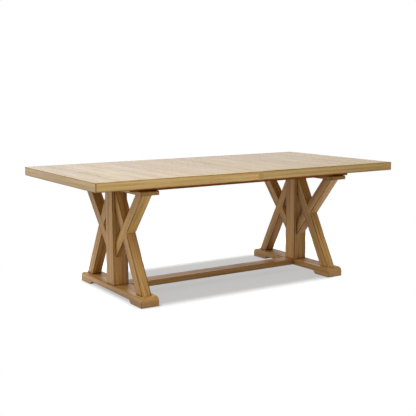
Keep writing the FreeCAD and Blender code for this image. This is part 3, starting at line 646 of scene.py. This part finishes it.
def nylon_material(finish):
    """Moulded nylon: a soft milky plastic with a fine orange-peel surface."""
    material, graph, shader = new_material("moulded nylon")
    own = graph.own_place()
    cloud = graph.noise(own, NYLON_CLOUDS, detail=3.0)
    colour = graph.mix(graph.ramp(cloud, *NYLON_CLOUD_SPAN), rgba(finish.nylon),
                       rgba(finish.nylon, NYLON_CLOUD_TONE))
    peel = graph.noise(own, NYLON_PEEL)
    graph.fill(shader, ("Base Color", colour), ("Roughness", graph.ramp(peel, *NYLON_PEEL_SHEEN)),
               ("Normal", graph.bump(peel, *NYLON_RELIEF)))
    return material


class TABLE_OT_finish_hardware(bpy.types.Operator):
    """Finish the zinc-plated fittings and the nylon pinion and glides"""

    bl_idname = "table.finish_hardware"
    bl_label = "Finish the Hardware"

    def execute(self, context):
        finish = context.scene.table_looks.finish
        zinc = zinc_material(finish)
        for node in named("_bolts", "_screws", "_plates", "_hook", "pinion_pivot"):
            dress(node, zinc)
        nylon = nylon_material(finish)
        for node in ("pinion", "floor_glides"):
            dress(node, nylon)
        return {"FINISHED"}


# Screws under the top

# A head's sides, its rings as shares of its radius and height, and its recess as shares of both
HEAD_SIDES = 24
HEAD_RINGS = ((1.0, 0.0), (0.97, 0.45), (0.82, 0.85))
RECESS_LEVEL = 0.2
RECESS_TAPER = 0.8


def add_screw_head(mesh, place, hardware):
    """A domed head that looks down, with a cross recess sunk into it."""
    rings = []
    for radius, drop in HEAD_RINGS:
        ring = []
        for index in range(HEAD_SIDES):
            angle = math.tau * index / HEAD_SIDES
            offset = Vector((math.cos(angle), math.sin(angle), 0.0)) * hardware.head_radius * radius
            ring.append(mesh.verts.new(place + offset - UPRIGHT * hardware.head_height * drop))
        rings.append(ring)
    for outer, inner in zip(rings, rings[1:]):
        for index in range(HEAD_SIDES):
            after = (index + 1) % HEAD_SIDES
            mesh.faces.new((outer[index], inner[index], inner[after], outer[after]))
    reach, half = hardware.recess_reach, hardware.recess_width / 2
    outline = []
    for quarter in range(4):
        turn = Matrix.Rotation(quarter * math.pi / 2, 3, "Z")
        outline += [turn @ Vector((reach, -half, 0.0)), turn @ Vector((reach, half, 0.0)),
                    turn @ Vector((half, half, 0.0))]
    face_level = place - UPRIGHT * hardware.head_height
    recess_level = place - UPRIGHT * hardware.head_height * RECESS_LEVEL
    rim = [mesh.verts.new(face_level + corner) for corner in outline]
    sunk = [mesh.verts.new(recess_level + corner * RECESS_TAPER) for corner in outline]
    border = []
    for loop in (rings[-1], rim):
        for index, vertex in enumerate(loop):
            after = loop[(index + 1) % len(loop)]
            border.append(mesh.edges.get((vertex, after)) or mesh.edges.new((vertex, after)))
    bmesh.ops.triangle_fill(mesh, use_beauty=True, edges=border)
    for index, vertex in enumerate(rim):
        after = (index + 1) % len(rim)
        mesh.faces.new((vertex, rim[after], sunk[after], sunk[index]))
    mesh.faces.new(sunk)


def add_screws(name, places, body, hardware):
    """One object of like screws that rides on a body."""
    mesh = bmesh.new()
    for place in places:
        add_screw_head(mesh, place, hardware)
    bmesh.ops.recalc_face_normals(mesh, faces=mesh.faces)
    data = bpy.data.meshes.new(name)
    mesh.to_mesh(data)
    mesh.free()
    screws = bpy.data.objects.new(name, data)
    bpy.context.scene.collection.objects.link(screws)
    data.materials.append(bpy.data.materials["zinc plate"])
    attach(screws, body)


def slide_screw_places(half, hardware):
    """Where one half's screws go: one under each board on its runners and rack."""
    places = []
    for slide in named(half + "_front_runner", half + "_back_runner", half + "_rack"):
        low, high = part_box(slide)
        middle = (low + high) / 2
        for plank in named(half + "_board_"):
            plank_low, plank_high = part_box(plank)
            x = (plank_low.x + plank_high.x) / 2
            if low.x + hardware.end_margin < x < high.x - hardware.end_margin:
                places.append(Vector((x, middle.y, low.z)))
    return places


class TABLE_OT_add_slide_screws(bpy.types.Operator):
    """Add the screws that hold the runners and racks under the boards"""

    bl_idname = "table.add_slide_screws"
    bl_label = "Add the Slide Screws"

    def execute(self, context):
        hardware = context.scene.table_looks.hardware
        for half in ("right", "left"):
            add_screws(half + "_slide_screws", slide_screw_places(half, hardware), half + "_top", hardware)
        return {"FINISHED"}


class TABLE_OT_add_plate_screws(bpy.types.Operator):
    """Add the screws of the lock plates and keeper plates"""

    bl_idname = "table.add_plate_screws"
    bl_label = "Add the Plate Screws"

    def execute(self, context):
        hardware = context.scene.table_looks.hardware
        for plates, body, sign in (("lock_plates", "left_top", -1), ("keeper_plates", "right_top", 1)):
            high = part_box(plates)[1]
            x = sign * hardware.plate_line
            level = high.z - hardware.plate_thickness
            centre = high.y - hardware.plate_length / 2
            places = [Vector((x, side * centre + end * hardware.plate_spread / 2, level))
                      for side in (-1, 1) for end in (-1, 1)]
            add_screws(plates + "_fixings", places, body, hardware)
        return {"FINISHED"}


# Studio

# Each softbox's name, place, and width and height, and the point that they all look at
SOFTBOXES = (
    ("front softbox", (-0.6, -2.2, 3.2), (2.0, 1.2)),
    ("side softbox", (-3.0, -1.6, 2.6), (1.6, 1.6)),
    ("low softbox", (-0.4, -2.6, 0.2), (3.5, 0.4)),
)
SOFTBOX_AIM = Vector((0.0, 0.0, 0.45))
# Each floor lamp's name and the way that its light goes, and how wide the lamps look
FLOOR_LAMPS = (
    ("left floor lamp", (0.437, 0.126, -0.762)),
    ("right floor lamp", (-0.437, -0.0745, -0.762)),
)
FLOOR_LAMP_ANGLE = math.radians(8.0)
# One soft patch of studio wall: its direction, how tight it is, its light, and its brightness in reflections
STUDIO_WALLS = (
    ((0.087, 0.996, 0.0), 2.0, 2.08, 1.27),
    ((-1.0, 0.0, 0.0), 2.0, 0.784, 0.48),
    ((1.0, 0.0, 0.0), 2.0, 0.0, 0.17),
    ((0.0, 0.0, 1.0), 2.0, 0.53, 0.0),
    ((0.53, -0.57, 0.63), 12.0, 0.0, 1.2),
)
# How shut in the floor is where the painted shadow round the feet starts, and where it is darkest
CONTACT_SPAN = (0.95, 0.5)
# How far the floor runs each way, and how far the camera sees
FLOOR_REACH = 30.0
CAMERA_REACH = 100.0


def add_lamp(name, lamp, way, lit):
    """Hang a lamp that shines one way and lights only what a collection says."""
    item = bpy.data.objects.new(name, lamp)
    item.rotation_euler = way.to_track_quat("-Z", "Y").to_euler()
    item.light_linking.receiver_collection = lit
    bpy.context.scene.collection.objects.link(item)
    return item


def add_softbox(name, place, size, power, lit):
    """A rectangular area lamp that looks at the table."""
    lamp = bpy.data.lights.new(name, "AREA")
    lamp.shape = "RECTANGLE"
    lamp.size, lamp.size_y = size
    lamp.energy = power
    add_lamp(name, lamp, SOFTBOX_AIM - Vector(place), lit).location = place


def add_floor_lamp(name, way, strength, lit):
    """A sun lamp that draws the table's shadow on the floor."""
    lamp = bpy.data.lights.new(name, "SUN")
    lamp.energy = strength
    lamp.angle = FLOOR_LAMP_ANGLE
    add_lamp(name, lamp, Vector(way), lit)


def studio_world():
    """White to the camera; soft pale walls to the light that falls on the table and to its reflections."""
    world = bpy.data.worlds.new("studio")
    world.use_nodes = True
    graph = Graph(world.node_tree)
    way = graph.node("ShaderNodeTexCoord").outputs["Generated"]
    path = graph.node("ShaderNodeLightPath").outputs
    soft = mirrored = 0.0
    for axis, tightness, light, brightness in STUDIO_WALLS:
        patch = graph.math("POWER", graph.math("MAXIMUM", graph.dot(way, axis), 0.0), tightness)
        soft = graph.math("MULTIPLY_ADD", patch, light, soft)
        mirrored = graph.math("MULTIPLY_ADD", patch, brightness, mirrored)
    seen = graph.math("MAXIMUM", path["Is Camera Ray"], path["Is Transmission Ray"])
    strength = graph.mix(path["Is Glossy Ray"], soft, mirrored)
    graph.fill(world.node_tree.nodes["Background"], ("Color", graph.mix(seen, strength, WHITE)))
    return world


def floor_material(studio):
    """A white floor that shows the table's shadow but gives little light back to the table."""
    material, graph, shader = new_material("white floor")
    graph.tree.nodes.remove(shader)
    path = graph.node("ShaderNodeLightPath").outputs
    seen = graph.math("MAXIMUM", path["Is Camera Ray"],
                      graph.math("MAXIMUM", path["Is Glossy Ray"], path["Is Transmission Ray"]))
    lit = graph.node("ShaderNodeAddShader", (0, graph.diffuse(studio.floor_tone)),
                     (1, graph.emission(studio.floor_glow))).outputs[0]
    # Painted shadow: the floor fades to a grey glow where open_air finds it shut in by the feet
    contact = graph.ramp(graph.open_air(studio.contact_reach), *CONTACT_SPAN, 0.0, studio.painted_contact_shadow)
    near = graph.mix_shaders(contact, lit, graph.emission(studio.contact_glow))
    beside, beyond = (graph.ramp(graph.math("ABSOLUTE", axis), reach, reach + studio.shadow_fade)
                      for axis, reach in zip(graph.axes(graph.own_place()), studio.shadow_reach))
    bright = graph.mix_shaders(graph.math("MAXIMUM", beside, beyond), near, graph.emission(1.0))
    surface = graph.mix_shaders(seen, graph.diffuse(studio.floor_shade), bright)
    graph.fill(graph.tree.nodes["Material Output"], ("Surface", surface))
    return material


def add_camera(scene, studio):
    """The camera, turned by its azimuth, elevation and roll."""
    lens = bpy.data.cameras.new("camera")
    lens.lens = studio.camera_lens
    lens.clip_end = CAMERA_REACH
    camera = bpy.data.objects.new("camera", lens)
    camera.location = studio.camera_place
    turn = (Matrix.Rotation(studio.camera_azimuth, 3, "Z")
            @ Matrix.Rotation(math.pi / 2 - studio.camera_elevation, 3, "X")
            @ Matrix.Rotation(studio.camera_roll, 3, "Z"))
    camera.rotation_euler = turn.to_euler()
    scene.collection.objects.link(camera)
    scene.camera = camera


class TABLE_OT_set_stage(bpy.types.Operator):
    """Set the floor, lamps, world and camera"""

    bl_idname = "table.set_stage"
    bl_label = "Set the Stage"

    def execute(self, context):
        scene = context.scene
        studio = scene.table_looks.studio
        corners = [(-FLOOR_REACH, -FLOOR_REACH, 0.0), (FLOOR_REACH, -FLOOR_REACH, 0.0),
                   (FLOOR_REACH, FLOOR_REACH, 0.0), (-FLOOR_REACH, FLOOR_REACH, 0.0)]
        plane = bpy.data.meshes.new("floor")
        plane.from_pydata(corners, [], [(0, 1, 2, 3)])
        plane.materials.append(floor_material(studio))
        floor = bpy.data.objects.new("floor", plane)
        scene.collection.objects.link(floor)
        floor_only = bpy.data.collections.new("floor only")
        floor_only.objects.link(floor)
        not_floor = bpy.data.collections.new("all but floor")
        not_floor.objects.link(floor)
        not_floor.collection_objects[0].light_linking.link_state = "EXCLUDE"
        powers = (studio.front_power, studio.side_power, studio.low_power)
        for (name, place, size), power in zip(SOFTBOXES, powers):
            add_softbox(name, place, size, power, not_floor)
        for name, way in FLOOR_LAMPS:
            add_floor_lamp(name, way, studio.floor_sun, floor_only)
        scene.world = studio_world()
        scene.view_settings.view_transform = "Standard"
        add_camera(scene, studio)
        return {"FINISHED"}


# Add-on

OPERATORS = (TABLE_OT_finish_top, TABLE_OT_finish_trestles, TABLE_OT_finish_slides, TABLE_OT_finish_hardware,
             TABLE_OT_add_slide_screws, TABLE_OT_add_plate_screws, TABLE_OT_set_stage)


class TABLE_PT_panel(bpy.types.Panel):
    """The settings, and the steps that dress the table"""

    bl_idname = "TABLE_PT_panel"
    bl_label = "Trestle Table"
    bl_space_type = "VIEW_3D"
    bl_region_type = "UI"
    bl_category = "Table"

    def draw(self, context):
        looks = context.scene.table_looks
        for group in (looks.finish, looks.hardware, looks.studio):
            settings = self.layout.box()
            for name in group.__annotations__:
                settings.prop(group, name)
        for operator in OPERATORS:
            self.layout.operator(operator.bl_idname)


CLASSES = (TableFinish, TableHardware, TableStudio, TableLooks) + OPERATORS + (TABLE_PT_panel,)


def register():
    """Add the classes and the settings to Blender."""
    for item in CLASSES:
        bpy.utils.register_class(item)
    bpy.types.Scene.table_looks = PointerProperty(type=TableLooks, name="Table",
                                                  description="Finish, screws and studio")


def unregister():
    """Take the settings and the classes away again."""
    del bpy.types.Scene.table_looks
    for item in reversed(CLASSES):
        bpy.utils.unregister_class(item)


def main():
    """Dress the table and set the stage."""
    register()
    bpy.ops.table.finish_top()
    bpy.ops.table.finish_trestles()
    bpy.ops.table.finish_slides()
    bpy.ops.table.finish_hardware()
    bpy.ops.table.add_slide_screws()
    bpy.ops.table.add_plate_screws()
    bpy.ops.table.set_stage()


if __name__ == "__main__":
    main()
